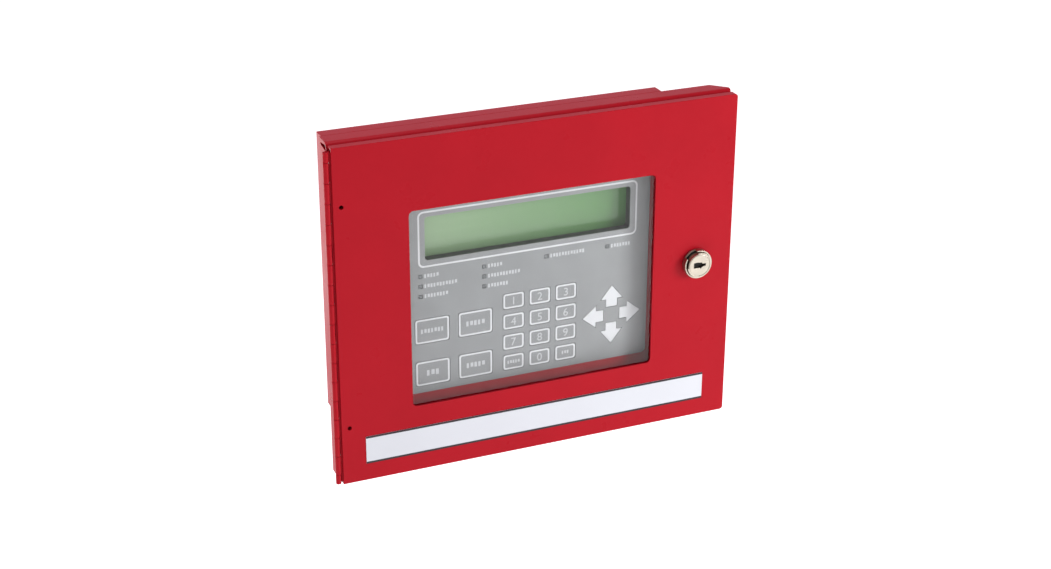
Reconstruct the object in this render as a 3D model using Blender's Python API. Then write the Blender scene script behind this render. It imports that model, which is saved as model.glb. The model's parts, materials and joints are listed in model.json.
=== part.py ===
"""Wall-mounted fire alarm annunciator: red steel enclosure, hinged lockable door, LCD and membrane keypad.

Lengths below are in millimetres and are measured on the closed door: X to the right from its hinge edge,
Y backwards from its outer face, Z up from its bottom edge. place() turns them into metres in the part's own
frame, whose origin is the centre of the face that goes against the wall.
"""
import math

import bmesh
import bpy
from mathutils import Vector

# Overall sizes
DOOR_WIDTH = 272.0
DOOR_HEIGHT = 224.8
ENCLOSURE_TOP = 226.0
FRAME_BACK = 20.0
WALL_FACE = 30.5
REAR_LEFT, REAR_RIGHT = 2.2, 227.7
REAR_BOTTOM = 44.0
ORIGIN = Vector(((REAR_LEFT + REAR_RIGHT) / 2, WALL_FACE, (REAR_BOTTOM + ENCLOSURE_TOP) / 2))
MM = 0.001

GAP = 0.3
SHEET = 1.2

# Door pan
DOOR_LEFT = 1.8
PAN_DEPTH = 5.5
PAN_CORNER = 2.0
WINDOW = (49.2, 215.6, 45.7, 178.0)
WINDOW_CORNER = 3.0
PEEP_HOLES = ((7.0, 39.0), (7.0, 187.0))
PEEP_RADIUS = 1.4
LABEL = (17.3, 255.1, 11.8, 31.0)

# Continuous hinge
HINGE_X, HINGE_Y = -1.0, 1.9
HINGE_BOTTOM, HINGE_TOP = 0.5, 222.5
KNUCKLES = 17
BARREL_RADIUS = 1.75
BORE_RADIUS = 1.1
PIN_RADIUS = 0.8
LEAF_START = 0.95
LEAF_RUN = 15.0
LEAF_FRONT, LEAF_BACK = 1.5, 2.3

# Front frame, a shallow tray behind the door
FRAME_LEFT, FRAME_RIGHT = 1.0, 270.8
FRAME_BOTTOM, FRAME_TOP = 0.5, ENCLOSURE_TOP
FRAME_FRONT = 6.0
SIDE_FRONT = 4.0
TOP_BEND = 4.2
SIDE_BEND = 2.5
BACK_CHAMFER = 9.0
LIP = 10.0
THROAT = (10.0, 220.0, 52.0, 218.0)

# Rear box
MOUNTING_HOLE_RADIUS = 2.0
MOUNTING_SPACING = (160.0, 120.0)
CABLE_HOLE = (60.0, 80.0)
CABLE_HOLE_RADIUS = 11.0

# Dead front, keypad and displays
PLATE = (6.0, 230.0, 6.0, 218.0)
PLATE_FRONT = 12.1
PLATE_BACK = PLATE_FRONT + SHEET
OVERLAY = (47.0, 217.0, 48.6, 181.0)
OVERLAY_FRONT, OVERLAY_BACK = 11.0, 11.8
LCD_WINDOW = (63.0, 203.3, 139.4, 168.3)
LCD_CLEAR = 1.0
LCD_FRAME_BACK = 22.9
LCD_GLASS_FRONT, LCD_GLASS_BACK = 20.0, 22.0
BOARD = (42.0, 226.0, 48.0, 131.3)
BOARD_FRONT, BOARD_BACK = 16.0, 17.6
LCD_BOARD = (49.0, 218.0, 131.5, 176.5)
LCD_BOARD_FRONT, LCD_BOARD_BACK = 23.2, 24.8
SCREWS = ((18.0, 208.0), (212.0, 208.0), (18.0, 16.0), (212.0, 16.0))

# Keys: centres, sizes and pitches across and down
NUMBER_KEY, NUMBER_FIRST, NUMBER_PITCH = (14.4, 10.6), (122.3, 102.2), (18.25, 14.4)
FUNCTION_KEY, FUNCTION_FIRST, FUNCTION_PITCH = (22.9, 16.8), (66.9, 91.3), (29.2, 29.4)
KEY_CORNER = 1.2
KEY_BACK = 11.5
STEM_RADIUS = 1.6
STEM_BACK = 15.4
ARROW_CENTRE = (191.6, 80.3)
ARROW_TAIL, ARROW_TIP, ARROW_HEAD = 5.8, 20.6, 9.4
ARROW_HALF_HEAD, ARROW_HALF_STEM = 7.6, 3.9
NUMBER_KEYS = (("key_1", "key_2", "key_3"), ("key_4", "key_5", "key_6"), ("key_7", "key_8", "key_9"),
               ("key_enter", "key_0", "key_escape"))
FUNCTION_KEYS = (("key_silence", "key_reset"), ("key_acknowledge", "key_drill"))
ARROW_KEYS = {"key_right": 0, "key_up": 90, "key_left": 180, "key_down": 270}

# Indicator lamps: name, column, row
LAMP_FIRST, LAMP_PITCH = (59.6, 129.0), (42.67, 6.8)
LAMP_SIZE = 2.2
LAMPS = (("led_power", 0, 0), ("led_earth_fault", 0, 1), ("led_silenced", 0, 2), ("led_alarm", 1, 0),
         ("led_supervisory", 1, 1), ("led_trouble", 1, 2), ("led_discharge", 2, 0), ("led_release", 3, 0))

# Cam lock
LOCK = (246.3, 112.9)
HEAD_RADIUS, HEAD_FRONT = 9.7, -4.6
CUP_RADIUS, CUP_FLOOR = 8.8, -1.6
PLUG_RADIUS, PLUG_FRONT = 8.5, -6.2
NOTCH_START, NOTCH_END = 98.0, 188.0
NOTCH_RADIUS = 7.9
FACE_GROOVE = 7.2
HEAD_CUT_END = 150.0
BODY_RADIUS, BODY_BACK = 7.9, 8.7
LOCK_BORE = 5.6
CAM_REACH = 18.0
CAM_FRONT, CAM_BACK = 9.2, 10.8
SPIGOT = 2.0


def material(name, colour, roughness, metallic=0.0, alpha=1.0):
    """Principled material with one colour."""
    made = bpy.data.materials.new(name)
    made.use_nodes = True
    shader = made.node_tree.nodes["Principled BSDF"]
    shader.inputs["Base Color"].default_value = (*colour, 1.0)
    shader.inputs["Roughness"].default_value = roughness
    shader.inputs["Metallic"].default_value = metallic
    shader.inputs["Alpha"].default_value = alpha
    made.diffuse_color = (*colour, alpha)
    return made


def make_materials():
    """One material for each kind of finish."""
    return {
        "red": material("red_powder_coat", (0.47, 0.018, 0.028), 0.38),
        "nickel": material("nickel_plate", (0.72, 0.69, 0.62), 0.22, 1.0),
        "zinc": material("zinc_plate", (0.62, 0.63, 0.64), 0.35, 1.0),
        "acrylic": material("clear_acrylic", (0.9, 0.93, 0.95), 0.05, 0.0, 0.2),
        "grey": material("grey_membrane", (0.33, 0.35, 0.36), 0.45),
        "white": material("white_ink", (0.7, 0.71, 0.74), 0.5),
        "label": material("label_film", (0.68, 0.7, 0.78), 0.4),
        "black": material("black_plastic", (0.03, 0.03, 0.035), 0.45),
        "lcd": material("lcd_green", (0.27, 0.42, 0.24), 0.25),
        "board": material("board_green", (0.03, 0.16, 0.07), 0.5),
        "lamp": material("smoked_lens", (0.12, 0.13, 0.13), 0.3),
        "terminal": material("terminal_green", (0.05, 0.3, 0.14), 0.5),
        "rubber": material("black_rubber", (0.02, 0.02, 0.02), 0.7),
    }


def place(x, y, z):
    """Metres in the part's frame for millimetres measured on the door."""
    return (Vector((x, y, z)) - ORIGIN) * MM


def rectangle(x0, x1, z0, z1):
    """Corners of a rectangle."""
    return [(x0, z0), (x1, z0), (x1, z1), (x0, z1)]


def arc(centre, radius, start, end, steps):
    """Points on an arc, angles in degrees."""
    points = []
    for step in range(steps + 1):
        angle = math.radians(start + (end - start) * step / steps)
        points.append((centre[0] + radius * math.cos(angle), centre[1] + radius * math.sin(angle)))
    return points


def rounded(x0, x1, z0, z1, radius, steps=4):
    """Rectangle with four round corners."""
    points = arc((x0 + radius, z0 + radius), radius, 180, 270, steps)
    points += arc((x1 - radius, z0 + radius), radius, 270, 360, steps)
    points += arc((x1 - radius, z1 - radius), radius, 0, 90, steps)
    points += arc((x0 + radius, z1 - radius), radius, 90, 180, steps)
    return points


def circle(x, z, radius, sides=24, turn=0.0):
    """Regular polygon for a round outline."""
    return arc((x, z), radius, turn, turn + 360 * (sides - 1) / sides, sides - 1)


def extrude(outline, low, high, along="Y"):
    """Closed prism. The outline's two values are X and Z along Y, Y and Z along X, or X and Y along Z."""
    places = {"Y": lambda a, b, t: place(a, t, b), "X": lambda a, b, t: place(t, a, b),
              "Z": lambda a, b, t: place(a, b, t)}
    to_frame = places[along]
    body = bmesh.new()
    lows = [body.verts.new(to_frame(a, b, low)) for a, b in outline]
    highs = [body.verts.new(to_frame(a, b, high)) for a, b in outline]
    body.faces.new(lows)
    body.faces.new(highs)
    for here in range(len(outline)):
        there = (here + 1) % len(outline)
        body.faces.new((lows[here], lows[there], highs[there], highs[here]))
    bmesh.ops.recalc_face_normals(body, faces=body.faces)
    return body


def block(x0, x1, y0, y1, z0, z1):
    """Rectangular box."""
    return extrude(rectangle(x0, x1, z0, z1), y0, y1)


def rod(x, z, radius, y0, y1, sides=24, turn=0.0):
    """Cylinder along Y."""
    return extrude(circle(x, z, radius, sides, turn), y0, y1)


def as_object(name, body):
    """Object made from a bmesh, which is used up."""
    mesh = bpy.data.meshes.new(name)
    body.to_mesh(mesh)
    body.free()
    made = bpy.data.objects.new(name, mesh)
    bpy.context.scene.collection.objects.link(made)
    return made


def combine(target, operation, bodies):
    """Boolean of an object with closed shapes that don't touch each other."""
    tool = bmesh.new()
    for body in bodies:
        mesh = bpy.data.meshes.new("tool")
        body.to_mesh(mesh)
        body.free()
        tool.from_mesh(mesh)
        bpy.data.meshes.remove(mesh)
    cutter = as_object("cutter", tool)
    modifier = target.modifiers.new(operation.lower(), "BOOLEAN")
    modifier.operation = operation
    modifier.solver = "EXACT"
    modifier.object = cutter
    evaluated = target.evaluated_get(bpy.context.evaluated_depsgraph_get())
    result = bpy.data.meshes.new_from_object(evaluated)
    target.modifiers.clear()
    target.data = result
    bpy.data.objects.remove(cutter)


def cut(target, bodies):
    """Take shapes away from an object."""
    combine(target, "DIFFERENCE", bodies)


def join(target, bodies):
    """Fuse shapes to an object, one at a time so that they may overlap."""
    for body in bodies:
        combine(target, "UNION", [body])


def keep_inside(target, body):
    """Keep only what an object shares with a shape."""
    combine(target, "INTERSECT", [body])


def finish(made, look, pivot=None):
    """Material, smooth round faces and, for a moving piece, an origin on its joint."""
    made.data.materials.clear()
    made.data.materials.append(look)
    if pivot is not None:
        offset = place(*pivot)
        for vertex in made.data.vertices:
            vertex.co -= offset
        made.location = offset
    made.data.shade_smooth()
    made.data.set_sharp_from_angle(angle=math.radians(35))
    return made


def front_frame(looks):
    """Tray with a return lip on three sides, a large bend along its top and a throat into the rear box."""

    def shell(inset):
        top = TOP_BEND - inset
        bend = SIDE_BEND - inset
        front, back = FRAME_FRONT + inset, FRAME_BACK - inset
        low, high = FRAME_BOTTOM + inset, FRAME_TOP - inset
        left, right = FRAME_LEFT + inset, FRAME_RIGHT - inset
        chamfer = BACK_CHAMFER - inset / 2
        side = [(back, low), (back, high)]
        side += arc((front + top, high - top), top, 90, 180, 8)
        side += arc((front + bend, low + bend), bend, 180, 270, 4)
        plan = [(left, back), (left, front)]
        plan += arc((right - bend, front + bend), bend, 270, 360, 4)
        plan += [(right, back - chamfer), (right - chamfer, back)]
        return extrude(side, left - 1.0, right + 1.0, "X"), extrude(plan, low - 1.0, high + 1.0, "Z")

    outer_side, outer_plan = shell(0.0)
    inner_side, inner_plan = shell(SHEET)
    cavity = as_object("cavity", inner_side)
    keep_inside(cavity, inner_plan)
    space = bmesh.new()
    space.from_mesh(cavity.data)
    bpy.data.objects.remove(cavity)

    frame = as_object("front_frame", outer_side)
    keep_inside(frame, outer_plan)
    cut(frame, [space])
    inner_left = FRAME_LEFT + SHEET
    side_top, curl_end = 219.5, 221.6
    bend_centre = (FRAME_FRONT + TOP_BEND, FRAME_TOP - TOP_BEND)
    lip_back, relief_low = FRAME_FRONT + SHEET, 220.8
    relief = [(17.0, 222.0), (9.5, relief_low), (lip_back, relief_low)]
    relief += arc(bend_centre, TOP_BEND - SHEET, 180, 120, 5) + [(17.0, 223.4)]
    cut(frame, [extrude(rectangle(inner_left, FRAME_RIGHT - LIP, FRAME_BOTTOM + LIP, FRAME_TOP - LIP),
                        FRAME_FRONT - 1.0, FRAME_FRONT + SHEET + 0.5),
                extrude(rectangle(*THROAT), FRAME_BACK - SHEET - 0.5, FRAME_BACK + 1.0)])
    join(frame, [block(FRAME_LEFT, inner_left, SIDE_FRONT, FRAME_FRONT + 2.0, FRAME_BOTTOM + SIDE_BEND,
                       side_top)])
    cut(frame, [extrude(relief, FRAME_LEFT - 1.0, inner_left + 0.3, "X")])
    cut(frame, [block(FRAME_LEFT - 1.0, inner_left + 0.3, SIDE_FRONT - 1.0, lip_back + 1.0, side_top, curl_end)])
    finish(frame, looks["red"])


def rear_box(looks):
    """Shallow box behind the frame, with inward flanges, wall screw holes and a cable hole."""
    bend = 1.5

    def shell(inset):
        left, right = REAR_LEFT + inset, REAR_RIGHT - inset
        low, high = REAR_BOTTOM + inset, ENCLOSURE_TOP - inset
        front, back = FRAME_BACK + GAP + inset, WALL_FACE - inset
        turn = bend - inset
        side = [(front, high), (front, low)]
        side += arc((back - turn, low + turn), turn, 270, 360, 3)
        side += arc((back - turn, high - turn), turn, 0, 90, 3)
        plan = [(right, front), (left, front)]
        plan += arc((left + turn, back - turn), turn, 180, 90, 3)
        plan += arc((right - turn, back - turn), turn, 90, 0, 3)
        return extrude(side, left - 1.0, right + 1.0, "X"), extrude(plan, low - 1.0, high + 1.0, "Z")

    outer_side, outer_plan = shell(0.0)
    inner_side, inner_plan = shell(SHEET)
    cavity = as_object("cavity", inner_side)
    keep_inside(cavity, inner_plan)
    space = bmesh.new()
    space.from_mesh(cavity.data)
    bpy.data.objects.remove(cavity)

    box = as_object("rear_box", outer_side)
    keep_inside(box, outer_plan)
    cut(box, [space])
    holes = [extrude(rectangle(*THROAT), FRAME_BACK - 1.0, FRAME_BACK + SHEET + 1.0),
             rod(*CABLE_HOLE, CABLE_HOLE_RADIUS, WALL_FACE - 3.0, WALL_FACE + 1.0, 32)]
    for x_side in (-0.5, 0.5):
        for z_side in (-0.5, 0.5):
            holes.append(rod(ORIGIN.x + x_side * MOUNTING_SPACING[0], ORIGIN.z + z_side * MOUNTING_SPACING[1],
                             MOUNTING_HOLE_RADIUS, WALL_FACE - 3.0, WALL_FACE + 1.0, 16))
    cut(box, holes)
    finish(box, looks["red"])


def cable_bushing(looks):
    """Plastic ring that lines the cable hole."""
    bushing = as_object("cable_bushing", rod(*CABLE_HOLE, 13.0, 27.6, 29.0, 32))
    join(bushing, [rod(*CABLE_HOLE, CABLE_HOLE_RADIUS - GAP, 28.5, 30.4, 32)])
    cut(bushing, [rod(*CABLE_HOLE, 8.0, 26.0, 32.0, 32)])
    finish(bushing, looks["black"])


def ground_stud(looks):
    """Earthing stud with a hexagonal foot, inside the rear box."""
    stud = as_object("ground_stud", rod(30.0, 64.0, 4.0, 26.8, WALL_FACE - SHEET - GAP, 6))
    join(stud, [rod(30.0, 64.0, 1.9, 22.5, 27.5, 12)])
    finish(stud, looks["zinc"])


def hinge(looks):
    """Continuous hinge: two leaves whose knuckles take turns on one pin."""
    pitch = (HINGE_TOP - HINGE_BOTTOM) / KNUCKLES
    pivot = (HINGE_X, HINGE_Y, 0.0)
    door_leaf = as_object("hinge_leaf_door", block(LEAF_START, LEAF_RUN, LEAF_FRONT, LEAF_BACK, HINGE_BOTTOM + 1,
                                                      HINGE_TOP - 1))
    leaf_top = 214.0
    leaf_bottom = FRAME_BOTTOM + LIP + GAP
    box_leaf = as_object("hinge_leaf_box", block(LEAF_START, 3.5, 2.65, 3.65, HINGE_BOTTOM + 1, leaf_top))
    join(box_leaf, [block(FRAME_LEFT + SHEET + GAP, 3.5, 3.3, LEAF_RUN, leaf_bottom, leaf_top)])
    for number in range(KNUCKLES + 1):
        low = max(HINGE_BOTTOM + (number - 0.5) * pitch, HINGE_BOTTOM) + GAP / 2
        high = min(HINGE_BOTTOM + (number + 0.5) * pitch, HINGE_TOP) - GAP / 2
        barrel = extrude(circle(HINGE_X, HINGE_Y, BARREL_RADIUS, 16), low, high, "Z")
        if number % 2:
            tab = block(HINGE_X + 1.4, LEAF_START + 0.5, LEAF_FRONT, LEAF_BACK, low, high)
            leaf = door_leaf
        else:
            tab = block(HINGE_X, LEAF_START + 0.5, 3.05, 3.65, low, min(high, leaf_top))
            leaf = box_leaf
        join(leaf, [tab, barrel])
    for leaf in (door_leaf, box_leaf):
        cut(leaf, [extrude(circle(HINGE_X, HINGE_Y, BORE_RADIUS, 12), HINGE_BOTTOM - 1, HINGE_TOP + 1, "Z")])
    cut(door_leaf, [rod(x, z, PEEP_RADIUS, SHEET, LEAF_FRONT + 1.5, 16) for x, z in PEEP_HOLES])
    finish(door_leaf, looks["red"], pivot)
    finish(box_leaf, looks["red"])
    pin = extrude(circle(HINGE_X, HINGE_Y, PIN_RADIUS, 12), HINGE_BOTTOM, HINGE_TOP, "Z")
    finish(as_object("hinge_pin", pin), looks["red"])


def door(looks):
    """Door pan with its window, the clear pane and its retainer, and the label strip."""
    pivot = (HINGE_X, HINGE_Y, 0.0)
    corner = PAN_CORNER

    def pan_outline(inset):
        right, high, low = DOOR_WIDTH - inset, DOOR_HEIGHT - inset, inset
        radius = corner - inset
        left = DOOR_LEFT + 3.0 * inset
        points = [(left, low)]
        points += arc((right - radius, low + radius), radius, 270, 360, 4)
        points += arc((right - radius, high - radius), radius, 0, 90, 4)
        return points + [(left, high)]

    panel = as_object("door_panel", extrude(pan_outline(0.0), 0.0, PAN_DEPTH))
    hollow = as_object("hollow", extrude(pan_outline(SHEET), SHEET, PAN_DEPTH + 1.0))
    join(hollow, [block(DOOR_LEFT - 1.0, 20.0, SHEET, PAN_DEPTH + 1.0, SHEET, DOOR_HEIGHT - SHEET)])
    space = bmesh.new()
    space.from_mesh(hollow.data)
    bpy.data.objects.remove(hollow)
    cut(panel, [space])
    holes = [extrude(rounded(*WINDOW, WINDOW_CORNER, 5), -1.0, SHEET + 1.0),
             rod(*LOCK, BODY_RADIUS + GAP, -1.0, SHEET + 1.0, 32)]
    for x, z in PEEP_HOLES:
        holes.append(rod(x, z, PEEP_RADIUS, -1.0, SHEET + 1.0, 16))
    cut(panel, holes)
    finish(panel, looks["red"], pivot)

    left, right, low, high = WINDOW
    pane = extrude(rectangle(left - 8.0, right + 8.0, low - 8.0, high + 8.0), SHEET + GAP, 3.5)
    finish(as_object("window_pane", pane), looks["acrylic"], pivot)
    retainer = as_object("window_retainer", extrude(rounded(left - 11, right + 11, low - 11, high + 11, 2.0), 3.8, 5.0))
    cut(retainer, [extrude(rounded(left - 2, right + 2, low - 2, high + 2, 2.0), 3.0, 6.0)])
    finish(retainer, looks["black"], pivot)
    finish(as_object("label_strip", extrude(rectangle(*LABEL), -0.6, -GAP)), looks["label"], pivot)


def sector(inner, outer, start, end):
    """Part of a ring around the lock's axis, angles in degrees."""
    return arc(LOCK, inner, start, end, 8) + arc(LOCK, outer, end, start, 8)


def keyway():
    """Keyhole outline with its wards."""
    x, z = LOCK
    wards = [(-4.2, -1.7), (0.2, -1.7), (0.9, -2.6), (1.6, -1.5), (2.6, -1.0), (4.5, -0.8), (4.5, 0.8), (2.0, 1.0),
             (1.4, 1.9), (-0.6, 1.9), (-1.2, 2.2), (-4.2, 2.0)]
    return [(x + across, z + up) for across, up in wards]


def lock(looks):
    """Cam lock: head and threaded body fixed in the door, and a plug that turns the cam behind it."""
    x, z = LOCK
    door_pivot = (HINGE_X, HINGE_Y, 0.0)
    turn_pivot = (x, 0.0, z)
    beyond = 1.0
    housing = as_object("lock_housing", rod(x, z, HEAD_RADIUS, HEAD_FRONT, -GAP, 40))
    join(housing, [rod(x, z, BODY_RADIUS, -1.0, BODY_BACK, 32)])
    cut(housing, [rod(x, z, CUP_RADIUS, HEAD_FRONT - beyond, CUP_FLOOR, 40)])
    cut(housing, [rod(x, z, LOCK_BORE, CUP_FLOOR - beyond, BODY_BACK + beyond, 32)])
    gap = sector(CUP_RADIUS - 0.5, HEAD_RADIUS + beyond, NOTCH_START, HEAD_CUT_END)
    cut(housing, [extrude(gap, HEAD_FRONT - beyond, CUP_FLOOR)])
    finish(housing, looks["nickel"], door_pivot)

    nut_front, nut_back = SHEET + GAP, 4.5
    nut = as_object("lock_nut", rod(x, z, 12.0, nut_front, nut_back, 6, 30))
    cut(nut, [rod(x, z, BODY_RADIUS + GAP, nut_front - beyond, nut_back + beyond, 32)])
    finish(nut, looks["zinc"], door_pivot)

    plug = as_object("lock_plug", rod(x, z, PLUG_RADIUS, PLUG_FRONT, CUP_FLOOR - GAP, 40))
    cut(plug, [extrude(sector(NOTCH_RADIUS, PLUG_RADIUS + beyond, NOTCH_START, NOTCH_END), PLUG_FRONT - beyond,
                       CUP_FLOOR)])
    groove_depth, groove_width = 0.4, 0.4
    cut(plug, [rod(x, z, FACE_GROOVE + groove_width, PLUG_FRONT - beyond, PLUG_FRONT + groove_depth, 40)])
    join(plug, [rod(x, z, FACE_GROOVE, PLUG_FRONT, PLUG_FRONT + 2 * groove_depth, 40),
                rod(x, z, LOCK_BORE - GAP, CUP_FLOOR - beyond, BODY_BACK, 32),
                block(x - SPIGOT, x + SPIGOT, BODY_BACK - beyond, CAM_BACK - 0.2, z - SPIGOT, z + SPIGOT)])
    screw_front, screw_radius = 7.0, 1.2
    cut(plug, [extrude(keyway(), PLUG_FRONT - beyond, 0.5),
               rod(x, z, screw_radius + GAP, screw_front - GAP, CAM_BACK + beyond, 12)])
    finish(plug, looks["nickel"], turn_pivot)

    tip = 4.0
    outline = arc(LOCK, 6.0, 0, 180, 10) + arc((x, z - CAM_REACH + tip), tip, 180, 360, 8)
    cam = as_object("lock_cam", extrude(outline, CAM_FRONT, CAM_BACK))
    square = SPIGOT + GAP
    cut(cam, [block(x - square, x + square, CAM_FRONT - beyond, CAM_BACK + beyond, z - square, z + square)])
    finish(cam, looks["zinc"], turn_pivot)

    head_back = CAM_BACK + 1.9
    screw = as_object("cam_screw", rod(x, z, 4.0, CAM_BACK + GAP, head_back, 20))
    join(screw, [rod(x, z, screw_radius, screw_front, head_back - beyond, 12)])
    cut(screw, [block(x - 5.0, x + 5.0, head_back - 0.6, head_back + beyond, z - 0.5, z + 0.5)])
    finish(screw, looks["zinc"], turn_pivot)


def key_centres():
    """Name, centre and size of each rectangular key."""
    keys = []
    for names, size, first, pitch in ((NUMBER_KEYS, NUMBER_KEY, NUMBER_FIRST, NUMBER_PITCH),
                                      (FUNCTION_KEYS, FUNCTION_KEY, FUNCTION_FIRST, FUNCTION_PITCH)):
        for row, line in enumerate(names):
            for column, name in enumerate(line):
                keys.append((name, first[0] + column * pitch[0], first[1] - row * pitch[1], size))
    return keys


def arrow_outline(turn, grow=0.0):
    """Block arrow that points along +X before it is turned, grown outwards by a margin."""
    tail, tip = ARROW_TAIL - grow, ARROW_TIP + grow * 1.6
    neck = ARROW_TIP - ARROW_HEAD - grow
    half_stem, half_head = ARROW_HALF_STEM + grow, ARROW_HALF_HEAD + grow * 1.9
    shape = [(tail, -half_stem), (neck, -half_stem), (neck, -half_head), (tip, 0.0), (neck, half_head),
             (neck, half_stem), (tail, half_stem)]
    cosine, sine = math.cos(math.radians(turn)), math.sin(math.radians(turn))
    return [(ARROW_CENTRE[0] + a * cosine - b * sine, ARROW_CENTRE[1] + a * sine + b * cosine) for a, b in shape]


def arrow_stem(turn):
    """Where an arrow key's stem stands."""
    reach = (ARROW_TAIL + ARROW_TIP) / 2
    angle = math.radians(turn)
    return ARROW_CENTRE[0] + reach * math.cos(angle), ARROW_CENTRE[1] + reach * math.sin(angle)


def key_outline(x, z, size, grow=0.0):
    """Rounded outline of a rectangular key."""
    half_width, half_height = size[0] / 2 + grow, size[1] / 2 + grow
    return rounded(x - half_width, x + half_width, z - half_height, z + half_height, KEY_CORNER + grow, 3)


def stems():
    """Centre of every key's stem."""
    return [(x, z) for _, x, z, _ in key_centres()] + [arrow_stem(turn) for turn in ARROW_KEYS.values()]


def keys(looks):
    """Key pads in the overlay, each with a stem that reaches through the plate to its switch."""
    pads = [(name, key_outline(x, z, size), (x, z), "grey") for name, x, z, size in key_centres()]
    pads += [(name, arrow_outline(turn), arrow_stem(turn), "white") for name, turn in ARROW_KEYS.items()]
    for name, outline, stem, look in pads:
        key = as_object(name, extrude(outline, OVERLAY_FRONT, KEY_BACK))
        join(key, [rod(*stem, STEM_RADIUS, KEY_BACK - 0.2, STEM_BACK, 12)])
        finish(key, looks[look], (stem[0], OVERLAY_FRONT, stem[1]))


def lamp_centres():
    """Name and centre of each indicator lamp."""
    return [(name, LAMP_FIRST[0] + column * LAMP_PITCH[0], LAMP_FIRST[1] - row * LAMP_PITCH[1])
            for name, column, row in LAMPS]


def lamps(looks):
    """Square light pipes from the board to the overlay's windows."""
    half = LAMP_SIZE / 2
    for name, x, z in lamp_centres():
        pipe = block(x - half, x + half, OVERLAY_FRONT + 0.1, BOARD_FRONT - GAP, z - half, z + half)
        finish(as_object(name, pipe), looks["lamp"])


def lcd_outline(grow):
    """Rounded outline of the display's opening, grown outwards by a margin."""
    left, right, low, high = LCD_WINDOW
    return rounded(left - grow, right + grow, low - grow, high + grow, 2.0)


def overlay(looks):
    """Membrane with openings for the keys, the lamps and the display."""
    sheet = as_object("keypad_overlay", extrude(rounded(*OVERLAY, 3.0), OVERLAY_FRONT, OVERLAY_BACK))
    front, back = OVERLAY_FRONT - 1.0, OVERLAY_BACK + 1.0
    holes = [extrude(lcd_outline(0.0), front, back)]
    holes += [extrude(key_outline(x, z, size, GAP), front, back) for _, x, z, size in key_centres()]
    holes += [extrude(arrow_outline(turn, GAP), front, back) for turn in ARROW_KEYS.values()]
    half = LAMP_SIZE / 2 + GAP
    holes += [block(x - half, x + half, front, back, z - half, z + half) for _, x, z in lamp_centres()]
    cut(sheet, holes)
    finish(sheet, looks["grey"])


def dead_front_plate(looks):
    """Steel plate that carries the keypad, with welded spacers for both boards."""
    plate = as_object("dead_front_plate", extrude(rounded(*PLATE, 2.0), PLATE_FRONT, PLATE_BACK))
    spacers = []
    for x in (BOARD[0] + 4.0, BOARD[1] - 4.0):
        for z in (BOARD[2] + 4.0, BOARD[3] - 6.0):
            spacers.append(rod(x, z, 1.8, PLATE_BACK - 0.5, BOARD_FRONT - GAP, 10))
    for x in (LCD_BOARD[0] + 3.0, LCD_BOARD[1] - 3.0):
        for z in (LCD_BOARD[2] + 4.0, LCD_BOARD[3] - 4.0):
            spacers.append(rod(x, z, 1.8, PLATE_BACK - 0.5, LCD_BOARD_FRONT - GAP, 10))
    join(plate, spacers)
    front, back = PLATE_FRONT - 1.0, PLATE_BACK + 1.0
    holes = [extrude(lcd_outline(LCD_CLEAR), front, back)]
    holes += [rod(x, z, STEM_RADIUS + 0.6, front, back, 12) for x, z in stems()]
    holes += [rod(x, z, 1.9, front, back, 12) for _, x, z in lamp_centres()]
    holes += [rod(x, z, 2.0, front, back, 12) for x, z in SCREWS]
    cut(plate, holes)
    finish(plate, looks["red"])


def fixings(looks):
    """Standoffs that stand on the frame or the rear box, and the plate's screws."""
    for number, (x, z) in enumerate(SCREWS, 1):
        floor = WALL_FACE - SHEET if z > REAR_BOTTOM else FRAME_BACK - SHEET
        standoff = as_object(f"standoff_{number}", rod(x, z, 3.4, PLATE_BACK + GAP, floor - GAP, 6))
        cut(standoff, [rod(x, z, 1.8, PLATE_BACK, 18.0, 12)])
        finish(standoff, looks["zinc"])
        screw = as_object(f"plate_screw_{number}", rod(x, z, 3.4, 10.3, PLATE_FRONT - GAP, 20))
        join(screw, [rod(x, z, 1.5, 11.0, 17.2, 12)])
        cut(screw, [block(x - 2.2, x + 2.2, 9.5, 11.0, z - 0.4, z + 0.4)])
        finish(screw, looks["zinc"])


def display(looks):
    """Character display: metal frame, glass and its board."""
    left, right, low, high = LCD_WINDOW
    border, rebate = 7.0, 4.0
    outer = rectangle(left - border, right + border, low - border, high + border)
    frame = as_object("lcd_frame", extrude(outer, PLATE_BACK + GAP, LCD_FRAME_BACK))
    cut(frame, [extrude(lcd_outline(LCD_CLEAR), PLATE_FRONT, LCD_GLASS_FRONT)])
    cut(frame, [block(left - rebate, right + rebate, LCD_GLASS_FRONT - GAP, LCD_FRAME_BACK + 1.0, low - rebate,
                      high + rebate)])
    finish(frame, looks["black"])
    edge = rebate - GAP
    glass = block(left - edge, right + edge, LCD_GLASS_FRONT, LCD_GLASS_BACK, low - edge, high + edge)
    finish(as_object("lcd_glass", glass), looks["lcd"])
    board = extrude(rectangle(*LCD_BOARD), LCD_BOARD_FRONT, LCD_BOARD_BACK)
    finish(as_object("lcd_board", board), looks["board"])


def electronics(looks):
    """Keypad board with the field terminals and the sounder on its back."""
    board = extrude(rectangle(*BOARD), BOARD_FRONT, BOARD_BACK)
    finish(as_object("main_board", board), looks["board"])
    back = BOARD_BACK + GAP
    terminal = as_object("terminal_block", block(92.0, 132.0, back, 27.0, 56.0, 67.0))
    mouths = [block(x - 1.6, x + 1.6, 22.0, 26.0, 54.0, 61.0) for x in range(96, 132, 5)]
    cut(terminal, mouths)
    finish(terminal, looks["terminal"])
    sounder = as_object("sounder", rod(190.0, 85.0, 7.0, back, 26.0, 28))
    cut(sounder, [rod(190.0, 85.0, 1.2, 24.0, 27.0, 12)])
    finish(sounder, looks["black"])


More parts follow.
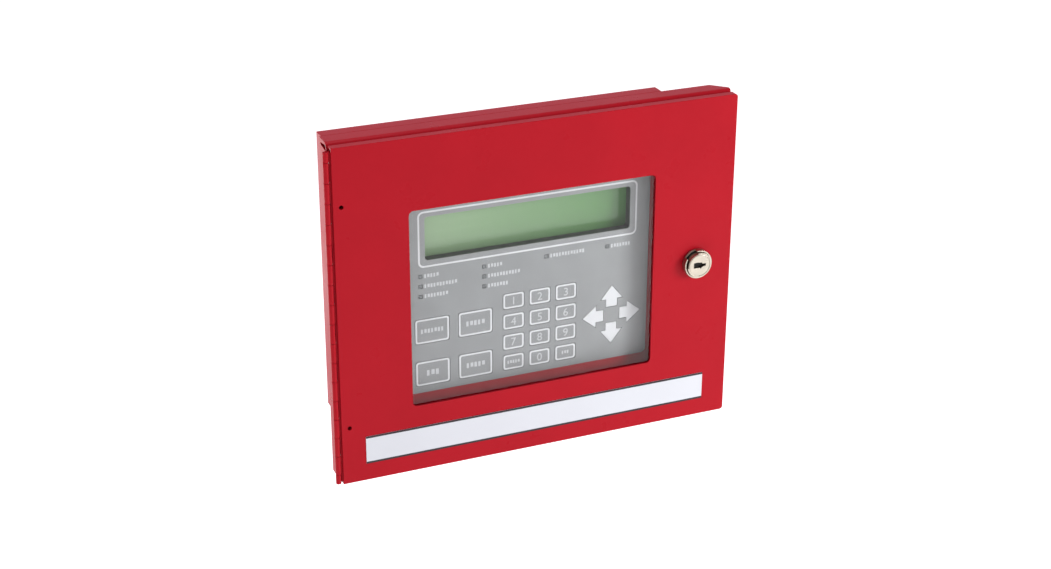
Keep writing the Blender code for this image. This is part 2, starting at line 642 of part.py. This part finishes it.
def main():
    for old in list(bpy.data.objects):
        bpy.data.objects.remove(old)
    looks = make_materials()
    for build in (front_frame, rear_box, cable_bushing, ground_stud, hinge, door, lock, dead_front_plate, overlay,
                  keys, lamps, display, electronics, fixings):
        build(looks)


main()
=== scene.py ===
"""Looks of the wall-mounted fire alarm annunciator: red steel box, windowed door, keypad and display.

Lengths written as plain numbers are millimetres measured on the closed door: X to the right from its
hinge edge, Y backwards from its outer face, Z up from its bottom edge. place() turns them into metres.
"""
import json
import math

import bmesh
import bpy
from mathutils import Matrix, Vector


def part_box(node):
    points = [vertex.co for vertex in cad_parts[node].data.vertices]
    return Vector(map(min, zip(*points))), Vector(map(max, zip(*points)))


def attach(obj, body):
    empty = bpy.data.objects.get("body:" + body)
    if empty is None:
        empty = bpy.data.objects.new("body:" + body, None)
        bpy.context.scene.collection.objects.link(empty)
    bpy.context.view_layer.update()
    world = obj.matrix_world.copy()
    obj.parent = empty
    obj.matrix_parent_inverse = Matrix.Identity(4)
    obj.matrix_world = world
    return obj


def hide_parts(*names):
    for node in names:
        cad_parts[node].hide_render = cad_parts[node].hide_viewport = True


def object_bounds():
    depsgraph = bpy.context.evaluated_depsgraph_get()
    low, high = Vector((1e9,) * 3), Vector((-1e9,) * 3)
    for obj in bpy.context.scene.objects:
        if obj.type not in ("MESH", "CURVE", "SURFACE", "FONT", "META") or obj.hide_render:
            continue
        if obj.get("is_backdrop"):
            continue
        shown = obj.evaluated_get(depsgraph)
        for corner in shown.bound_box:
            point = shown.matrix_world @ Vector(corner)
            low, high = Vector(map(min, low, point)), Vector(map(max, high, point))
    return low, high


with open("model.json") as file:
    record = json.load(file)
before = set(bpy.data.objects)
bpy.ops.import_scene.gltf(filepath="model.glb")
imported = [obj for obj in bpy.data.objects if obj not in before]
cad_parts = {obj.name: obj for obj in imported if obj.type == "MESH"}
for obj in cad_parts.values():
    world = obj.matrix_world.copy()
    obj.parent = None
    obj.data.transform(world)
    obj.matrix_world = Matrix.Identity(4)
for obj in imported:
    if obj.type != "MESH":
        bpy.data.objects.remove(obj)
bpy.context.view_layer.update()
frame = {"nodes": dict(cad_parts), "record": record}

MM = 0.001
DOOR_WIDTH, DOOR_HEIGHT = 272.0, 224.8
DOOR_CORNER = Vector((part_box("door_panel")[1].x - DOOR_WIDTH * MM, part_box("door_panel")[0].y,
                      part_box("door_panel")[0].z))

OVERLAY = (47.0, 217.0, 48.6, 181.0)
OVERLAY_FRONT = 11.0
PLATE_FRONT = 12.1
LCD_WINDOW = (63.0, 203.3, 139.4, 168.3)
LABEL = (17.3, 255.1, 11.8, 31.0)
LOCK = (246.3, 112.9)
CUP_RADIUS, CUP_FLOOR = 8.8, -1.6
PLUG_FRONT = -6.2
INK, INK_SUNK = 0.04, 0.01
LINE = 1.15

NUMBER_KEY, NUMBER_FIRST, NUMBER_PITCH = (14.4, 10.6), (122.3, 102.2), (18.25, 14.4)
FUNCTION_KEY, FUNCTION_FIRST, FUNCTION_PITCH = (22.9, 16.8), (66.9, 91.3), (29.2, 29.4)
NUMBER_KEYS = (("key_1", "key_2", "key_3"), ("key_4", "key_5", "key_6"), ("key_7", "key_8", "key_9"),
               ("key_enter", "key_0", "key_escape"))
FUNCTION_KEYS = (("key_silence", "key_reset"), ("key_acknowledge", "key_drill"))
# Letters in each printed word mark and their height
KEY_WORDS = {"key_enter": (5, 2.3), "key_escape": (3, 2.3), "key_silence": (7, 2.9), "key_reset": (5, 3.4),
             "key_acknowledge": (3, 3.9), "key_drill": (5, 3.4)}
# Indicator lamps: name, column, row, letters in the word beside it
LAMP_FIRST, LAMP_PITCH = (59.6, 129.0), (42.67, 6.8)
LAMP_WORD_START, LAMP_WORD_HEIGHT = 2.6, 2.6
LAMPS = (("led_power", 0, 0, 5), ("led_earth_fault", 0, 1, 11), ("led_silenced", 0, 2, 8),
         ("led_alarm", 1, 0, 5), ("led_supervisory", 1, 1, 11), ("led_trouble", 1, 2, 7),
         ("led_discharge", 2, 0, 12), ("led_release", 3, 0, 7))


def place(x, y, z):
    """Metres in the frame for millimetres measured on the door."""
    return DOOR_CORNER + Vector((x, y, z)) * MM


# ---------------------------------------------------------------- materials

class Look:
    """A Principled material under construction, with its patterns in the frame's own metres."""

    def __init__(self, name, colour, roughness, metallic=0.0):
        self.material = bpy.data.materials.new(name)
        self.material.use_nodes = True
        self.tree = self.material.node_tree
        self.shader = self.tree.nodes["Principled BSDF"]
        self.set("Base Color", (*colour, 1.0))
        self.set("Roughness", roughness)
        self.set("Metallic", metallic)
        self.colour = colour
        self.roughness = roughness
        self.place = self.node("ShaderNodeTexCoord").outputs["Object"]
        self.normal = None

    def set(self, socket, value):
        self.shader.inputs[socket].default_value = value
        return self

    def node(self, kind, **values):
        made = self.tree.nodes.new(kind)
        for name, value in values.items():
            setattr(made, name, value)
        return made

    def link(self, source, target):
        self.tree.links.new(source, target)

    def math(self, operation, first, second=0.0):
        made = self.node("ShaderNodeMath", operation=operation)
        for socket, value in zip(made.inputs, (first, second)):
            if isinstance(value, (int, float)):
                socket.default_value = value
            else:
                self.link(value, socket)
        return made.outputs[0]

    def noise(self, size, detail=2.0, stretch=(1.0, 1.0, 1.0)):
        """Noise whose grains are about `size` millimetres across."""
        grain = self.node("ShaderNodeTexNoise")
        grain.inputs["Scale"].default_value = 1.0 / (size * MM)
        grain.inputs["Detail"].default_value = detail
        mapping = self.node("ShaderNodeMapping")
        mapping.inputs["Scale"].default_value = stretch
        self.link(self.place, mapping.inputs["Vector"])
        self.link(mapping.outputs[0], grain.inputs["Vector"])
        return grain.outputs["Fac"]

    def ramp(self, factor, low, high, start=0.3, end=0.7):
        """Colour that runs from low to high as the factor does from start to end."""
        made = self.node("ShaderNodeValToRGB")
        made.color_ramp.elements[0].position = start
        made.color_ramp.elements[1].position = end
        made.color_ramp.elements[0].color = (*low, 1.0)
        made.color_ramp.elements[1].color = (*high, 1.0)
        self.link(factor, made.inputs[0])
        return made.outputs[0]

    def mottle(self, size, amount):
        """Slow variation of the base colour."""
        low = [channel * (1.0 - amount) for channel in self.colour]
        high = [min(1.0, channel * (1.0 + amount)) for channel in self.colour]
        self.link(self.ramp(self.noise(size, 3.0), low, high), self.shader.inputs["Base Color"])
        return self

    def worn(self, size, amount, stretch=(1.0, 1.0, 1.0)):
        """Slow variation of the roughness."""
        spread = self.node("ShaderNodeMapRange")
        spread.inputs["From Min"].default_value = 0.3
        spread.inputs["From Max"].default_value = 0.7
        spread.inputs["To Min"].default_value = self.roughness - amount
        spread.inputs["To Max"].default_value = self.roughness + amount
        self.link(self.noise(size, 4.0, stretch), spread.inputs["Value"])
        self.link(spread.outputs[0], self.shader.inputs["Roughness"])
        return self

    def bump(self, height, depth, strength=1.0):
        """Relief `depth` millimetres deep, on top of any relief already there."""
        made = self.node("ShaderNodeBump")
        made.inputs["Distance"].default_value = depth * MM
        made.inputs["Strength"].default_value = strength
        self.link(height, made.inputs["Height"])
        if self.normal is not None:
            self.link(self.normal, made.inputs["Normal"])
        self.normal = made.outputs[0]
        self.link(self.normal, self.shader.inputs["Normal"])
        return self


def red_paint(name="red_powder_coat"):
    """Satin powder coat with fine orange peel."""
    look = Look(name, (0.385, 0.0072, 0.0155), 0.3)
    look.set("Specular IOR Level", 0.07)
    look.mottle(45.0, 0.035).worn(20.0, 0.035)
    look.bump(look.noise(1.3, 1.0), 0.022, 0.5)
    look.bump(look.noise(0.35, 2.0), 0.004, 0.5)
    return look.material


def metal(name, colour, roughness, grain=(1.0, 1.0, 1.0)):
    """Plated metal with fine drawn lines along its grain."""
    look = Look(name, colour, roughness, 1.0)
    look.mottle(6.0, 0.06).worn(2.5, 0.05, grain)
    look.bump(look.noise(0.5, 3.0, grain), 0.004, 0.5)
    return look.material


def moulded(name, colour, roughness, grain=0.4):
    """Moulded plastic with a fine spark-eroded texture."""
    look = Look(name, colour, roughness)
    look.mottle(15.0, 0.05).worn(8.0, 0.05)
    look.bump(look.noise(grain, 2.0), 0.012, 0.5)
    return look.material


def clear_pane(name="clear_acrylic"):
    """Clear sheet: light passes straight through, and the surface reflects as acrylic does."""
    look = Look(name, (0.93, 0.95, 0.97), 0.03)
    clear = look.node("ShaderNodeBsdfTransparent")
    clear.inputs["Color"].default_value = (0.99, 0.995, 0.995, 1.0)
    fresnel = look.node("ShaderNodeFresnel")
    fresnel.inputs["IOR"].default_value = 1.49
    glossy = look.node("ShaderNodeBsdfGlossy")
    glossy.inputs["Roughness"].default_value = 0.03
    outside = look.math("SUBTRACT", 1.0, look.node("ShaderNodeNewGeometry").outputs["Backfacing"])
    mix = look.node("ShaderNodeMixShader")
    look.link(look.math("MULTIPLY", fresnel.outputs[0], outside), mix.inputs[0])
    look.link(clear.outputs[0], mix.inputs[1])
    look.link(glossy.outputs[0], mix.inputs[2])
    look.link(mix.outputs[0], look.tree.nodes["Material Output"].inputs["Surface"])
    return look.material


def display_glass(name="lcd_green"):
    """Unlit character display: green glass, a little paler to the left, with faint character cells."""
    look = Look(name, (0.34, 0.50, 0.25), 0.2)
    split = look.node("ShaderNodeSeparateXYZ")
    look.link(look.place, split.inputs[0])
    left, right = place(LCD_WINDOW[0], 0, 0).x, place(LCD_WINDOW[1], 0, 0).x
    across = look.node("ShaderNodeMapRange")
    across.inputs["From Min"].default_value = left
    across.inputs["From Max"].default_value = right
    look.link(split.outputs["X"], across.inputs["Value"])
    body = look.ramp(across.outputs[0], (0.275, 0.41, 0.235), (0.08, 0.23, 0.06), 0.0, 1.0)
    columns, rows = 40, 4
    margin = 3.0
    cell_width = (right - left - 2 * margin * MM) / columns
    low, high = place(0, 0, LCD_WINDOW[2]).z, place(0, 0, LCD_WINDOW[3]).z
    cell_height = (high - low - 2 * margin * MM) / rows
    steps = []
    for axis, start, size in (("X", left + margin * MM, cell_width), ("Z", low + margin * MM, cell_height)):
        offset = look.math("SUBTRACT", split.outputs[axis], start)
        phase = look.math("FRACT", look.math("DIVIDE", offset, size))
        from_middle = look.math("ABSOLUTE", look.math("SUBTRACT", phase, 0.5))
        steps.append(look.math("LESS_THAN", from_middle, 0.41))
    cell = look.math("MULTIPLY", steps[0], steps[1])
    dim = look.node("ShaderNodeMix", data_type="RGBA", blend_type="MULTIPLY")
    look.link(look.math("MULTIPLY", cell, 0.35), dim.inputs[0])
    look.link(body, dim.inputs[6])
    dim.inputs[7].default_value = (0.88, 0.9, 0.88, 1.0)
    look.link(dim.outputs[2], look.shader.inputs["Base Color"])
    look.set("Coat Weight", 0.2)
    look.set("Coat Roughness", 0.05)
    return look.material


def circuit_board(name="board_green"):
    """Solder mask over copper tracks."""
    look = Look(name, (0.02, 0.12, 0.05), 0.35)
    tracks = look.node("ShaderNodeTexBrick")
    tracks.inputs["Scale"].default_value = 1.0 / (2.5 * MM)
    tracks.inputs["Mortar Size"].default_value = 0.08
    turn = look.node("ShaderNodeMapping")
    turn.inputs["Rotation"].default_value = (math.radians(90), 0.0, 0.0)
    look.link(look.place, turn.inputs["Vector"])
    look.link(turn.outputs[0], tracks.inputs["Vector"])
    colour = look.ramp(tracks.outputs["Fac"], (0.02, 0.12, 0.05), (0.04, 0.2, 0.08), 0.0, 1.0)
    look.link(colour, look.shader.inputs["Base Color"])
    look.bump(tracks.outputs["Fac"], 0.03)
    return look.material


def label_film(name="label_film"):
    """Satin printed film."""
    look = Look(name, (0.60, 0.615, 0.66), 0.42)
    look.mottle(60.0, 0.02).worn(30.0, 0.04)
    look.bump(look.noise(0.6, 2.0), 0.003, 0.5)
    return look.material


def floor_paint(name="studio_floor"):
    """Pale floor of a studio light table, which glows evenly."""
    look = Look(name, (0.93, 0.93, 0.93), 0.7)
    look.set("Emission Color", (1.0, 1.0, 1.0, 1.0)).set("Emission Strength", 0.6)
    return look.material


def make_looks():
    """One material for each material slot of the record, and a few for small details."""
    return {
        "red_powder_coat": red_paint(),
        "nickel": metal("nickel_plate", (0.46, 0.42, 0.35), 0.32),
        "zinc": metal("zinc_plate", (0.58, 0.60, 0.62), 0.3, (1.0, 6.0, 6.0)),
        "clear_acrylic": clear_pane(),
        "grey_membrane": moulded("grey_membrane", (0.262, 0.27, 0.275), 0.5, 0.25),
        "white_ink": moulded("white_ink", (0.66, 0.67, 0.69), 0.5, 0.25),
        "faint_ink": moulded("faint_ink", (0.52, 0.53, 0.55), 0.5, 0.25),
        "backing_film": moulded("backing_film", (0.20, 0.205, 0.21), 0.6, 0.25),
        "label_film": label_film(),
        "dark_ink": moulded("dark_ink", (0.02, 0.01, 0.015), 0.7, 0.3),
        "black_plastic": moulded("black_plastic", (0.03, 0.03, 0.034), 0.42),
        "black_metal": moulded("black_metal", (0.022, 0.022, 0.024), 0.38),
        "lcd_green": display_glass(),
        "board_green": circuit_board(),
        "smoked_lens": moulded("smoked_lens", (0.15, 0.16, 0.165), 0.3, 1.0),
        "terminal_green": moulded("terminal_green", (0.04, 0.26, 0.12), 0.4),
        # Near-black painted shade, put inside the keyway and the lock's notch
        "shadow": moulded("keyway_shadow", (0.006, 0.0055, 0.005), 0.8),
    }


LOOKS = make_looks()
SLOT_OF = {part["node"]: part["material_slot"] for part in frame["record"]["subparts"]}
BODY_OF = {node: body for body, nodes in frame["record"]["behaviour"]["bodies"].items() for node in nodes}


# ---------------------------------------------------------------- mesh tools

def as_piece(name, mesh_or_bmesh, look, body):
    """Object that rides on a body."""
    mesh = mesh_or_bmesh
    if isinstance(mesh_or_bmesh, bmesh.types.BMesh):
        mesh = bpy.data.meshes.new(name)
        mesh_or_bmesh.to_mesh(mesh)
        mesh_or_bmesh.free()
    made = bpy.data.objects.new(name, mesh)
    bpy.context.scene.collection.objects.link(made)
    made.data.materials.clear()
    made.data.materials.append(LOOKS[look])
    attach(made, body)
    return made


def extrude(outline, front, back):
    """Closed prism along Y from an outline of (x, z) points."""
    body = bmesh.new()
    fronts = [body.verts.new(place(x, front, z)) for x, z in outline]
    backs = [body.verts.new(place(x, back, z)) for x, z in outline]
    body.faces.new(fronts)
    body.faces.new(backs)
    for here in range(len(outline)):
        there = (here + 1) % len(outline)
        body.faces.new((fronts[here], fronts[there], backs[there], backs[here]))
    bmesh.ops.recalc_face_normals(body, faces=body.faces)
    return body


def arc(centre, radius, start, end, steps):
    """Points on an arc, angles in degrees."""
    return [(centre[0] + radius * math.cos(math.radians(start + (end - start) * step / steps)),
             centre[1] + radius * math.sin(math.radians(start + (end - start) * step / steps)))
            for step in range(steps + 1)]


def rounded(x0, x1, z0, z1, radius, steps=6):
    """Outline of a rectangle with round corners."""
    return (arc((x0 + radius, z0 + radius), radius, 180, 270, steps)
            + arc((x1 - radius, z0 + radius), radius, 270, 360, steps)
            + arc((x1 - radius, z1 - radius), radius, 0, 90, steps)
            + arc((x0 + radius, z1 - radius), radius, 90, 180, steps))


def ring(outer, inner, front, back):
    """Closed ring along Y between two outlines with the same number of points."""
    body = bmesh.new()
    loops = [[body.verts.new(place(x, y, z)) for x, z in outline]
             for outline, y in ((outer, front), (outer, back), (inner, back), (inner, front))]
    count = len(outer)
    for first, second in zip(loops, loops[1:] + loops[:1]):
        for here in range(count):
            there = (here + 1) % count
            body.faces.new((first[here], first[there], second[there], second[here]))
    bmesh.ops.recalc_face_normals(body, faces=body.faces)
    return body


def join_bodies(bodies):
    """One bmesh from several."""
    joined = bmesh.new()
    for body in bodies:
        mesh = bpy.data.meshes.new("part")
        body.to_mesh(mesh)
        body.free()
        joined.from_mesh(mesh)
        bpy.data.meshes.remove(mesh)
    return joined


def soften(made, width, segments=2, angle=38.0):
    """Bevelled edges and even shading."""
    bevel = made.modifiers.new("soft_edges", "BEVEL")
    bevel.width = width * MM
    bevel.segments = segments
    bevel.limit_method = "ANGLE"
    bevel.angle_limit = math.radians(angle)
    bevel.use_clamp_overlap = True
    made.data.shade_smooth()
    weighted = made.modifiers.new("even_shading", "WEIGHTED_NORMAL")
    weighted.keep_sharp = False
    return made


def clean_copy(node):
    """The CAD solid's mesh with whole faces in place of triangles."""
    body = bmesh.new()
    body.from_mesh(frame["nodes"][node].data)
    bmesh.ops.remove_doubles(body, verts=body.verts, dist=0.000002)
    bmesh.ops.dissolve_limit(body, angle_limit=math.radians(0.4), verts=body.verts, edges=body.edges)
    return body


def refine(node, width, segments=2, large=None, look=None):
    """Replaces a CAD node with the same shape, its edges rounded. `large` is (test, width, segments)."""
    body = clean_copy(node)
    if large is not None:
        test, big, steps = large
        chosen = [edge for edge in body.edges if test(edge)]
        bmesh.ops.bevel(body, geom=chosen, offset=big * MM, segments=steps, profile=0.5, affect="EDGES",
                        clamp_overlap=True)
    slot = SLOT_OF[node]
    made = as_piece(node + "_skin", body, look or slot, BODY_OF[node])
    soften(made, width, segments)
    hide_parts(node)
    return made


# ---------------------------------------------------------------- enclosure and door

def door_rim(edge):
    """True on the outer rim of the door's face, which is bent and not cut."""
    low, high = place(0, 0, 0), place(DOOR_WIDTH, 0, DOOR_HEIGHT)
    near = 0.05 * MM
    corner = 3.2 * MM
    for vertex in edge.verts:
        if abs(vertex.co.y - low.y) > near:
            return False
        inside_x = high.x - corner > vertex.co.x
        inside_z = low.z + near < vertex.co.z < high.z - near
        if inside_x and inside_z:
            return False
    return edge.calc_face_angle(0.0) > math.radians(60)


def sheet_metal():
    """Painted sheet: the door's rim has a large bend, every other edge a small one."""
    rim_radius, rim_segments = 2.0, 6
    refine("door_panel", 0.18, 2, (door_rim, rim_radius, rim_segments))
    refine("front_frame", 0.2, 2)
    refine("rear_box", 0.2, 2)
    refine("hinge_leaf_door", 0.12, 2)
    refine("hinge_leaf_box", 0.12, 2)
    refine("dead_front_plate", 0.12, 1)
    refine("hinge_pin", 0.15, 2)


def small_parts():
    """Fixings, electronics and moulded pieces, each with its own edge width."""
    for node, width in (("window_retainer", 0.3), ("cable_bushing", 0.5), ("ground_stud", 0.25),
                        ("lock_nut", 0.35), ("lock_cam", 0.2), ("cam_screw", 0.25), ("sounder", 0.5),
                        ("terminal_block", 0.3), ("lcd_frame", 0.2), ("main_board", 0.1),
                        ("lcd_board", 0.1)):
        refine(node, width)
    for number in range(1, 5):
        refine(f"standoff_{number}", 0.2)
        refine(f"plate_screw_{number}", 0.25)


def window():
    """Clear pane behind the door's window."""
    refine("window_pane", 0.15, 1)


def label():
    """Label film laid on the door, with a thin dark line along its upper and lower edges."""
    x0, x1, z0, z1 = LABEL
    front, back = -0.25, 0.02
    film = as_piece("label_film", extrude(rounded(x0, x1, z0, z1, 0.4, 3), front, back), "label_film", "door")
    soften(film, 0.06, 1)
    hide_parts("label_strip")
    line = 1.35
    for name, low in (("label_line_top", z1 - line), ("label_line_bottom", z0)):
        strip = extrude([(x0, low), (x1, low), (x1, low + line), (x0, low + line)], front - INK, front)
        as_piece(name, strip, "dark_ink", "door")


def lock():
    """Lock head and plug, with near-black plates of painted shade inside the keyway and in the notch beside
    it.
    """
    refine("lock_housing", 0.35, 3)
    refine("lock_plug", 0.3, 3)
    x, z = LOCK
    # Near-black plate a little way inside the keyway: painted shade standing for the dark inside of the
    # keyway.
    keyway = [(x - 4.8, z - 2.9), (x + 4.8, z - 2.9), (x + 4.8, z + 2.6), (x - 4.8, z + 2.6)]
    keyway_floor = PLUG_FRONT + 2.4
    back = extrude(keyway, keyway_floor, keyway_floor + 0.2)
    as_piece("keyway_painted_shade", back, "shadow", "lock_plug")
    # Near-black ring on the cup's floor, seen only through the notch: painted shade for the gap beneath the
    # plug.
    sides, clear = 48, 0.02
    last = 360 * (sides - 1) / sides
    outer = arc(LOCK, CUP_RADIUS - clear, 0, last, sides - 1)
    inner = arc(LOCK, CUP_RADIUS - 2.0, 0, last, sides - 1)
    floor = ring(outer, inner, CUP_FLOOR - 0.2, CUP_FLOOR - clear)
    as_piece("notch_painted_shade", floor, "shadow", "door")


# ---------------------------------------------------------------- keypad

def key_places():
    """Name, centre and size of each rectangular key."""
    for names, size, first, pitch in ((NUMBER_KEYS, NUMBER_KEY, NUMBER_FIRST, NUMBER_PITCH),
                                      (FUNCTION_KEYS, FUNCTION_KEY, FUNCTION_FIRST, FUNCTION_PITCH)):
        for row, line in enumerate(names):
            for column, name in enumerate(line):
                yield name, first[0] + column * pitch[0], first[1] - row * pitch[1], size


def blocks_word(letters, x, z, height, centred=True):
    """Row of small blocks that stands for a printed word."""
    advance, width = height * 0.78, height * 0.56
    start = x - (letters * advance - (advance - width)) / 2 if centred else x
    bodies = []
    for letter in range(letters):
        left = start + letter * advance
        right = left + width * (0.8 + 0.2 * ((letter * 5) % 3) / 2)
        low = z - height / 2 + height * 0.14 * ((letter * 7) % 3 == 1)
        bodies.append(extrude([(left, low), (right, low), (right, z + height / 2), (left, z + height / 2)],
                              OVERLAY_FRONT - INK, OVERLAY_FRONT + INK_SUNK))
    return join_bodies(bodies)


def digit(text, x, z, height):
    """Printed numeral as a thin closed mesh."""
    curve = bpy.data.curves.new("numeral", "FONT")
    curve.body = text
    curve.size = height * MM / 0.7
    curve.extrude = INK * MM
    curve.align_x = "CENTER"
    curve.resolution_u = 6
    holder = bpy.data.objects.new("numeral", curve)
    bpy.context.scene.collection.objects.link(holder)
    bpy.context.view_layer.update()
    mesh = bpy.data.meshes.new_from_object(holder.evaluated_get(bpy.context.evaluated_depsgraph_get()))
    bpy.data.objects.remove(holder)
    mesh.transform(Matrix.Rotation(math.radians(90), 4, "X"))
    middle = (min(v.co.x for v in mesh.vertices) + max(v.co.x for v in mesh.vertices)) / 2
    target = place(x, OVERLAY_FRONT, z - height / 2)
    mesh.transform(Matrix.Translation(target - Vector((middle, 0.0, 0.0))))
    return mesh


def keys():
    """Key pads with printed borders, numerals and word marks."""
    edge, outer_corner, inner_corner = 0.15, 1.9, 0.9
    numeral_height = 5.4
    for name, x, z, size in key_places():
        refine(name, 0.12, 2)
        half_width, half_height = size[0] / 2, size[1] / 2
        outer = rounded(x - half_width + edge, x + half_width - edge, z - half_height + edge,
                        z + half_height - edge, outer_corner)
        inset = edge + LINE
        inner = rounded(x - half_width + inset, x + half_width - inset, z - half_height + inset,
                        z + half_height - inset, inner_corner)
        border = ring(outer, inner, OVERLAY_FRONT - INK, OVERLAY_FRONT + INK_SUNK)
        as_piece(name + "_border", border, "white_ink", name)
        if name in KEY_WORDS:
            letters, height = KEY_WORDS[name]
            as_piece(name + "_word", blocks_word(letters, x, z, height), "faint_ink", name)
        else:
            numeral = digit(name[-1], x, z, numeral_height)
            as_piece(name + "_numeral", numeral, "faint_ink", name)
    for name in ("key_up", "key_down", "key_left", "key_right"):
        refine(name, 0.12, 2)


def overlay():
    """Keypad film with the display's printed border and a word mark beside each lamp."""
    refine("keypad_overlay", 0.1, 1)
    outer = (58.4, 208.1, 134.8, 172.1)
    outer_corner, inner_corner = 3.6, 2.7
    inner = (outer[0] + LINE, outer[1] - LINE, outer[2] + LINE, outer[3] - LINE)
    border = ring(rounded(*outer, outer_corner), rounded(*inner, inner_corner), OVERLAY_FRONT - INK,
                  OVERLAY_FRONT + INK_SUNK)
    as_piece("display_border", border, "white_ink", "enclosure")
    left, right, low, high = OVERLAY
    clear, corner = 1.0, 2.0
    film_front, film_back = PLATE_FRONT - 0.15, PLATE_FRONT - 0.02
    lcd = (LCD_WINDOW[0] - clear, LCD_WINDOW[1] + clear, LCD_WINDOW[2] - clear, LCD_WINDOW[3] + clear)
    film = ring(rounded(left + clear, right - clear, low + clear, high - clear, corner),
                rounded(*lcd, corner), film_front, film_back)
    as_piece("membrane_backing", film, "backing_film", "enclosure")
    for name, column, row, letters in LAMPS:
        x = LAMP_FIRST[0] + column * LAMP_PITCH[0]
        z = LAMP_FIRST[1] - row * LAMP_PITCH[1]
        word = blocks_word(letters, x + LAMP_WORD_START, z, LAMP_WORD_HEIGHT, False)
        as_piece(name + "_word", word, "faint_ink", "enclosure")
        refine(name, 0.1, 1)


def display():
    """Display glass in its frame."""
    refine("lcd_glass", 0.1, 1)


# ---------------------------------------------------------------- studio

def soft_box(name, centre, offset, size, power, colour=(1.0, 1.0, 1.0)):
    """Square area light that faces the object."""
    data = bpy.data.lights.new(name, "AREA")
    data.color = colour
    data.shape = "SQUARE"
    data.size = size
    data.energy = power
    lamp = bpy.data.objects.new(name, data)
    bpy.context.scene.collection.objects.link(lamp)
    lamp.location = centre + Vector(offset)
    lamp.rotation_euler = (centre - lamp.location).to_track_quat("-Z", "Y").to_euler()
    lamp.visible_camera = False


def studio():
    """Pale floor, soft lights and the camera."""
    low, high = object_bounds()
    drop = 0.16
    bpy.ops.mesh.primitive_plane_add(size=30.0, location=(0.0, 0.0, low.z - drop))
    floor = bpy.context.object
    floor.name = "floor"
    floor.data.materials.append(floor_paint())
    floor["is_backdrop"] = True

    world = bpy.data.worlds.new("studio")
    bpy.context.scene.world = world
    world.use_nodes = True
    background = world.node_tree.nodes["Background"]
    background.inputs["Color"].default_value = (1.0, 1.0, 1.0, 1.0)
    background.inputs["Strength"].default_value = 0.32

    centre = (low + high) / 2
    soft_box("key_light", centre, (0.80, -0.62, 0.15), 0.35, 7.4)
    soft_box("fill_light", centre, (-0.3, -1.3, 1.1), 0.5, 1.5)
    soft_box("top_light", centre, (-0.1, 0.25, 1.3), 0.8, 7.5, (1.0, 0.85, 1.0))
    soft_box("side_light", centre, (-1.5, 0.1, 0.5), 1.2, 8.0)
    soft_box("back_light", centre, (0.5, 1.6, 0.9), 1.6, 4.0, (1.0, 0.78, 1.0))
    soft_box("rim_light", centre, (-0.32, 0.5, -0.06), 0.4, 0.55)

    data = bpy.data.cameras.new("camera")
    data.sensor_width = 36.0
    data.lens = 65.1
    data.clip_start, data.clip_end = 0.05, 50.0
    camera = bpy.data.objects.new("camera", data)
    bpy.context.scene.collection.objects.link(camera)
    azimuth, elevation, roll = math.radians(23.03), math.radians(23.86), math.radians(0.22)
    forward = Vector((math.sin(azimuth) * math.cos(elevation), math.cos(azimuth) * math.cos(elevation),
                      -math.sin(elevation)))
    camera.location = DOOR_CORNER + Vector((-1.112, -3.704, 2.211)) * DOOR_WIDTH * MM
    turn = forward.to_track_quat("-Z", "Y").to_matrix() @ Matrix.Rotation(roll, 3, "Z")
    camera.rotation_euler = turn.to_euler()
    bpy.context.scene.camera = camera
    bpy.context.scene.view_settings.view_transform = "Standard"


sheet_metal()
small_parts()
window()
label()
lock()
overlay()
keys()
display()
studio()
